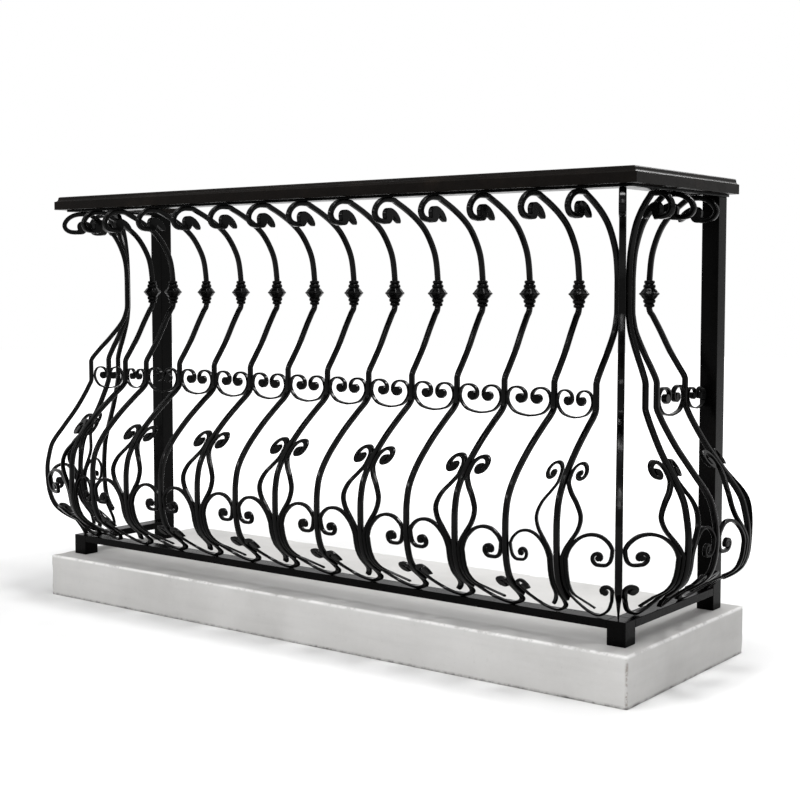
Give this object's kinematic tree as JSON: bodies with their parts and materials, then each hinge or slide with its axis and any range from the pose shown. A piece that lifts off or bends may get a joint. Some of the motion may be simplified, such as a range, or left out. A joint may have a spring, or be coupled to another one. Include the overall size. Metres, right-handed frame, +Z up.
{
  "type": "balcony railing",
  "caption": "Three-sided wrought-iron balcony railing with pot-belly bars, forged scrolls and a moulded cap rail, on a concrete plinth.",
  "frame": {"origin": "centre of the underside of the concrete plinth", "axes": "+X along the front towards the longer return, +Y from the front towards the open back, +Z up"},
  "size_m": [2.1207, 0.6965, 1.195],
  "materials": {
    "black_iron": "satin",
    "concrete": "matte"
  },
  "bodies": {
    "root": {"plinth": "concrete", "bottom_rail_front": "black_iron", "bottom_rail_left": "black_iron", "bottom_rail_right": "black_iron", "front_feet": "black_iron", "rear_post_left": "black_iron", "rear_post_right": "black_iron", "cap_rail_front": "black_iron", "cap_rail_left": "black_iron", "cap_rail_right": "black_iron", "sub_rail_front": "black_iron", "sub_rail_left": "black_iron", "sub_rail_right": "black_iron", "front_bar_01": "black_iron", "front_bar_02": "black_iron", "front_bar_03": "black_iron", "front_bar_04": "black_iron", "front_bar_05": "black_iron", "front_bar_06": "black_iron", "front_bar_07": "black_iron", "front_bar_08": "black_iron", "front_bar_09": "black_iron", "front_bar_10": "black_iron", "front_bar_11": "black_iron", "front_bar_12": "black_iron", "front_bar_13": "black_iron", "corner_bar_left": "black_iron", "corner_bar_right": "black_iron", "left_bar_1": "black_iron", "left_bar_2": "black_iron", "right_bar_1": "black_iron", "right_bar_2": "black_iron", "right_bar_3": "black_iron", "collars_front": "black_iron", "collar_right": "black_iron", "waist_scrolls_front": "black_iron", "waist_scrolls_right": "black_iron", "upper_scrolls_front": "black_iron", "upper_scrolls_left": "black_iron", "upper_scrolls_right": "black_iron", "lyre_scrolls_front": "black_iron", "lyre_scrolls_left": "black_iron", "lyre_scrolls_right": "black_iron"}
  },
  "joints": []
}
